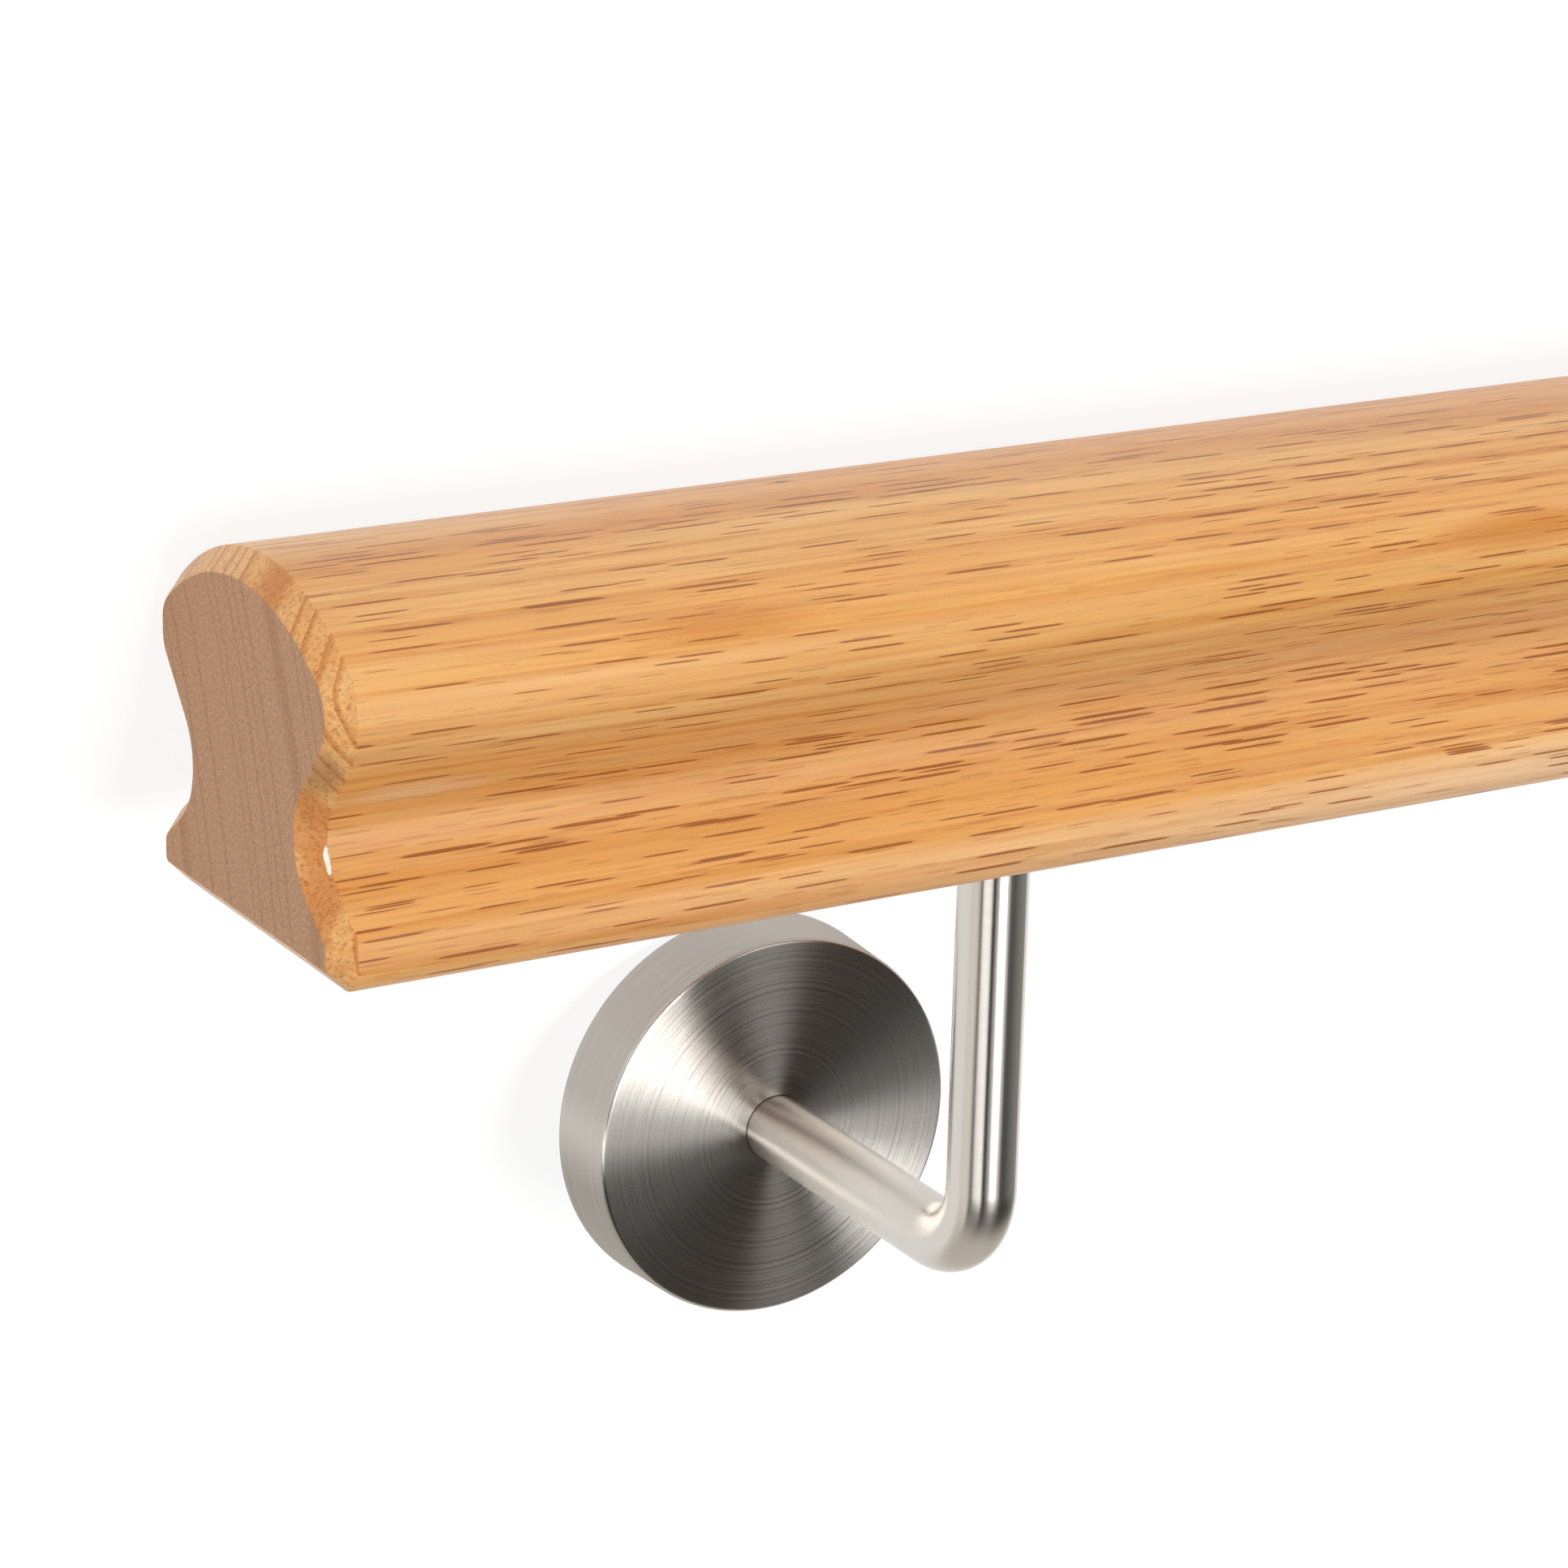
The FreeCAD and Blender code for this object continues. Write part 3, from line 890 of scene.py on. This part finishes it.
def cover_profile(bracket):
    """Closed profile of the rosette as radius and height from the wall, from the rod's hole round to it."""
    back = bracket.cover_back / 2
    front = back - bracket.cover_spread
    depth = bracket.cover_depth
    hole = bracket.rod_diameter / 2 + bracket.cover_gap
    lean = math.atan2(bracket.cover_spread, depth)
    edge = bracket.cover_edge
    corner_turn = math.pi / 2 - lean
    setback = edge * math.tan(corner_turn / 2)
    centre = Vector((front - setback, depth - edge))
    profile = [
        Vector((hole + (centre.x - hole) * step / FACE_RINGS, depth)) for step in range(FACE_RINGS)
    ]
    for step in range(COVER_EDGE_STEPS + 1):
        angle = math.pi / 2 - corner_turn * step / COVER_EDGE_STEPS
        profile.append(centre + Vector((math.cos(angle), math.sin(angle))) * edge)
    inner_height = depth - bracket.cover_wall
    inner = front - bracket.cover_wall + bracket.cover_wall * bracket.cover_spread / depth
    profile.append(Vector((back, 0.0)))
    profile.append(Vector((back - bracket.cover_wall, 0.0)))
    profile.append(Vector((inner, inner_height)))
    profile.append(Vector((hole, inner_height)))
    return profile


class HANDRAIL_OT_cover_rosettes(bpy.types.Operator):
    """Build the turned stainless rosettes that cover the wall plates"""

    bl_idname = "handrail.cover_rosettes"
    bl_label = "Cover rosettes"

    def execute(self, context):
        bracket = context.scene.handrail_bracket
        colours = context.scene.handrail_steel
        materials = [
            turned_stainless("turned_stainless_cap", colours, 0.24, 0.33),
            turned_stainless("turned_stainless_rim", colours, 0.42, 0.56),
        ]
        turns = [2 * math.pi * corner / COVER_SIDES for corner in range(COVER_SIDES)]
        for side in SIDES:
            low, high = reach(f"cover_rosette_{side}")
            centre = Vector(((low.x + high.x) / 2, high.y, (low.z + high.z) / 2))
            mesh = bmesh.new()
            rings = []
            for point in cover_profile(bracket):
                rings.append([
                    mesh.verts.new(
                        centre + Vector((point.x * math.cos(turn), -point.y, point.x * math.sin(turn)))
                    )
                    for turn in turns
                ])
            for band in skin(mesh, rings, closed=True):
                for face in band:
                    face.normal_update()
                    face.material_index = COVER_RIM if abs(face.normal.y) < RIM_LEAN else COVER_FACE
            piece = finish_mesh(f"turned_rosette_{side}", mesh, HUNG, materials)
            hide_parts(f"cover_rosette_{side}")
        return {"FINISHED"}


# Welds: points round the rod, ripples, their depth and the hollow of the bead's face as shares of its leg, and
# steps across the bead.
WELD_SIDES = 180
WELD_RIPPLES = 20
WELD_RIPPLE_DEPTH = 0.09
WELD_HOLLOW = 0.18
WELD_STEPS = 8


class HANDRAIL_OT_weld_beads(bpy.types.Operator):
    """Build the weld round each rod where it meets its saddle plate"""

    bl_idname = "handrail.weld_beads"
    bl_label = "Weld beads"

    def execute(self, context):
        bracket = context.scene.handrail_bracket
        colours = context.scene.handrail_steel
        material = plain_metal("tig_weld_stainless", colours.weld, 0.25, 0.45, 1.5)
        rod = bracket.rod_diameter / 2
        for side in SIDES:
            low, high = reach(f"bracket_rod_{side}")
            foot = Vector(((low.x + high.x) / 2, 0.0, -bracket.saddle_thickness))
            mesh = bmesh.new()
            rings = []
            for step in range(WELD_STEPS + 1):
                lean = math.pi / 2 * step / WELD_STEPS
                flat = 1 - WELD_HOLLOW * (1 - abs(math.cos(2 * lean)))
                ring = []
                for corner in range(WELD_SIDES):
                    turn = 2 * math.pi * corner / WELD_SIDES
                    ripple = 1 - WELD_RIPPLE_DEPTH * abs(math.sin(WELD_RIPPLES * turn / 2))
                    leg = bracket.weld_leg * flat * ripple
                    out = rod + leg * math.sin(lean)
                    ring.append(mesh.verts.new(
                        foot + Vector((out * math.cos(turn), out * math.sin(turn), -leg * math.cos(lean)))
                    ))
                rings.append(ring)
            skin(mesh, rings)
            finish_mesh(f"weld_bead_{side}", mesh, HUNG, [material])
        return {"FINISHED"}


def dress(node, material):
    """Give a CAD node its finish."""
    target = frame["nodes"][node]
    for slot in target.material_slots:
        slot.material = material


class HANDRAIL_OT_plates_and_screws(bpy.types.Operator):
    """Finish the saddle plates, wall plates and wood screws"""

    bl_idname = "handrail.plates_and_screws"
    bl_label = "Plates and screws"

    def execute(self, context):
        colours = context.scene.handrail_steel
        sheet = plain_metal("laser_cut_stainless_plate", colours.stainless, 0.26, 0.40, 3.0)
        zinc = plain_metal("bright_zinc_screw", colours.zinc, 0.22, 0.38, 1.2)
        for side in SIDES:
            dress(f"saddle_plate_{side}", sheet)
            dress(f"wall_plate_{side}", sheet)
            for screw in SCREWS:
                dress(f"saddle_screw_{side}_{screw}", zinc)
        return {"FINISHED"}


# How far the paper is lifted from its lit colour to white where it is seen, and how bright that white is.
PAPER_LIFT = 0.75
PAPER_WHITE = 1.12


def white_paper(colours):
    """Matt white paper: it holds the soft shadow, and is lifted to white for the eye and for mirrors."""
    material, tree, output = new_material("white_paper_floor")
    matt = add_node(tree, "ShaderNodeBsdfDiffuse", None, {"Color": tuple(colours.paper), "Roughness": 1.0})
    path = add_node(tree, "ShaderNodeLightPath")
    seen = add_node(
        tree, "ShaderNodeMath", {"operation": "MAXIMUM"},
        {0: path.outputs["Is Camera Ray"], 1: path.outputs["Is Glossy Ray"]},
    ).outputs["Value"]
    seen_through = add_node(
        tree, "ShaderNodeMath", {"operation": "MAXIMUM"}, {0: seen, 1: path.outputs["Is Transmission Ray"]}
    ).outputs["Value"]
    lift = add_node(
        tree, "ShaderNodeMath", {"operation": "MULTIPLY"}, {0: seen_through, 1: PAPER_LIFT}
    ).outputs["Value"]
    glow = add_node(
        tree, "ShaderNodeEmission", None, {"Color": (1.0, 1.0, 1.0, 1.0), "Strength": PAPER_WHITE}
    )
    both = add_node(
        tree, "ShaderNodeMixShader", None, {0: lift, 1: matt.outputs["BSDF"], 2: glow.outputs["Emission"]}
    )
    tree.links.new(both.outputs["Shader"], output.inputs["Surface"])
    return material


# How far below level the grey band on the right lies, in the hanging rail's axes, where the upright rods
# mirror it, and how fast it fades above and below.
BAND_DIP = 0.31
BAND_FADE = 3.0


def studio_world(settings):
    """Pale walls left of the rail and below it, a grey band on the right and a dark ceiling, for metal."""
    world = bpy.data.worlds.new("studio")
    world.use_nodes = True
    tree = world.node_tree
    tree.nodes.clear()
    direction = add_node(tree, "ShaderNodeTexCoord").outputs["Generated"]
    axes = add_node(tree, "ShaderNodeSeparateXYZ", None, {"Vector": direction})
    room = laid_over(tree, tuple(settings.left_wall), axes.outputs["Z"], 0.32, 0.47, 1.0, settings.ceiling)
    room = laid_over(tree, room, axes.outputs["X"], 0.05, 0.45, 1.0, settings.ceiling)
    height = add_node(
        tree, "ShaderNodeVectorMath", {"operation": "DOT_PRODUCT"}, {0: direction, 1: HUNG.col[2].xyz}
    ).outputs["Value"]
    above_band = add_node(
        tree, "ShaderNodeMath", {"operation": "ADD"}, {0: height, 1: BAND_DIP}
    ).outputs["Value"]
    off_band = add_node(tree, "ShaderNodeMath", {"operation": "ABSOLUTE"}, {0: above_band}).outputs["Value"]
    rightwards = add_node(
        tree, "ShaderNodeMath", {"operation": "MULTIPLY_ADD"},
        {0: off_band, 1: -BAND_FADE, 2: axes.outputs["X"]},
    ).outputs["Value"]
    room = laid_over(tree, room, rightwards, 0.35, 0.65, 1.0, settings.right_wall)
    room = laid_over(tree, room, axes.outputs["Y"], -0.40, -0.65, 1.0, settings.back_wall)
    background = add_node(tree, "ShaderNodeBackground", None, {"Color": room, "Strength": 1.0})
    output = add_node(tree, "ShaderNodeOutputWorld")
    tree.links.new(background.outputs["Background"], output.inputs["Surface"])
    return world


# Softboxes: their direction from the rail's left bracket, distance, width and height, and the light they give
# there, where 1 would show a colour facing them as it is written.
SOFTBOXES = {
    "key_softbox": ((0.02, 0.457, 0.889), 2.3, (0.85, 0.85), 0.51),
    "left_softbox": ((-0.707, 0.042, 0.705), 2.2, (0.45, 1.15), 0.11),
    "strip_softbox": ((0.02, 0.195, 0.98), 2.2, (1.75, 0.36), 0.06),
    "crown_softbox": ((-0.25, 0.95, 0.20), 2.3, (2.2, 0.6), 0.33),
    "right_softbox": ((0.438, 0.599, 0.666), 2.2, (0.7, 0.7), 0.07),
}
# This softbox only fills, and polished metal doesn't mirror it.
FILL_SOFTBOX = "crown_softbox"

FLOOR_HALF = 60.0
FLOOR_GAP = 0.1 * MM

# In mm, as the camera takes it.
SENSOR_WIDTH = 36.0


def lay_floor(scene, settings):
    """Sheet of paper under the part."""
    sheet = bmesh.new()
    level = CAD_BOX[0].z - FLOOR_GAP
    corners = ((-1, -1), (1, -1), (1, 1), (-1, 1))
    sheet.faces.new([sheet.verts.new((x * FLOOR_HALF, y * FLOOR_HALF, level)) for x, y in corners])
    data = bpy.data.meshes.new("floor")
    sheet.to_mesh(data)
    sheet.free()
    data.materials.append(white_paper(settings))
    floor = bpy.data.objects.new("floor", data)
    scene.collection.objects.link(floor)


def hang_softboxes(scene):
    """Area lamps round the left bracket, each facing it."""
    low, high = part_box("bracket_rod_left")
    target = (Vector(low) + Vector(high)) / 2
    for name, (direction, distance, size, light) in SOFTBOXES.items():
        lamp = bpy.data.lights.new(name, "AREA")
        lamp.shape = "RECTANGLE"
        lamp.size, lamp.size_y = size
        lamp.energy = light * math.pi ** 2 * distance ** 2
        away = Vector(direction).normalized()
        softbox = bpy.data.objects.new(name, lamp)
        softbox.visible_glossy = name != FILL_SOFTBOX
        softbox.location = target + away * distance
        softbox.rotation_euler = away.to_track_quat("Z", "Y").to_euler()
        scene.collection.objects.link(softbox)


def set_camera(scene, settings):
    """Camera at the photograph's place and angle, off the rail's left end."""
    data = bpy.data.cameras.new("camera")
    data.sensor_width = SENSOR_WIDTH
    data.lens = settings.lens
    camera = bpy.data.objects.new("camera", data)
    yaw, dip, roll = settings.camera_yaw, settings.camera_dip, settings.camera_roll
    forward = Vector((math.sin(yaw) * math.cos(dip), math.cos(yaw) * math.cos(dip), -math.sin(dip)))
    level_right = Vector((math.cos(yaw), -math.sin(yaw), 0.0))
    right = level_right * math.cos(roll) + level_right.cross(forward) * math.sin(roll)
    turned = Matrix((right, right.cross(forward), -forward)).transposed().to_4x4()
    left_end = Vector((-scene.handrail_rail.rail_length / 2, 0.0, 0.0))
    camera.matrix_world = HUNG @ Matrix.Translation(left_end + settings.camera_place) @ turned
    scene.collection.objects.link(camera)
    scene.camera = camera


class HANDRAIL_OT_studio(bpy.types.Operator):
    """Lay the floor, hang the softboxes and set the camera"""

    bl_idname = "handrail.studio"
    bl_label = "Studio"

    def execute(self, context):
        scene = context.scene
        settings = scene.handrail_studio
        scene.view_settings.view_transform = "Standard"
        scene.world = studio_world(settings)
        lay_floor(scene, settings)
        hang_softboxes(scene)
        set_camera(scene, settings)
        return {"FINISHED"}


GROUPS = {
    "handrail_rail": RailSizes,
    "handrail_bracket": BracketSizes,
    "handrail_oak": OakColours,
    "handrail_steel": SteelColours,
    "handrail_studio": StudioSettings,
}
OPERATORS = (
    HANDRAIL_OT_oak_rail,
    HANDRAIL_OT_bracket_rods,
    HANDRAIL_OT_cover_rosettes,
    HANDRAIL_OT_weld_beads,
    HANDRAIL_OT_plates_and_screws,
    HANDRAIL_OT_studio,
)


class HANDRAIL_PT_sidebar(bpy.types.Panel):
    """Sizes, colours and steps of the handrail"""

    bl_idname = "HANDRAIL_PT_sidebar"
    bl_label = "Oak handrail"
    bl_space_type = "VIEW_3D"
    bl_region_type = "UI"
    bl_category = "Handrail"

    def draw(self, context):
        for step in OPERATORS:
            self.layout.operator(step.bl_idname)
        for name, group in GROUPS.items():
            box = self.layout.box()
            box.label(text=group.__doc__)
            for field in group.__annotations__:
                box.prop(getattr(context.scene, name), field)


def register():
    for made in (*GROUPS.values(), *OPERATORS, HANDRAIL_PT_sidebar):
        bpy.utils.register_class(made)
    for name, group in GROUPS.items():
        setattr(bpy.types.Scene, name, PointerProperty(type=group))


def unregister():
    for name in GROUPS:
        delattr(bpy.types.Scene, name)
    for made in (HANDRAIL_PT_sidebar, *reversed(OPERATORS), *reversed(list(GROUPS.values()))):
        bpy.utils.unregister_class(made)


def main():
    """Build every piece in order."""
    register()
    bpy.ops.handrail.oak_rail()
    bpy.ops.handrail.bracket_rods()
    bpy.ops.handrail.cover_rosettes()
    bpy.ops.handrail.weld_beads()
    bpy.ops.handrail.plates_and_screws()
    bpy.ops.handrail.studio()


if __name__ == "__main__":
    main()
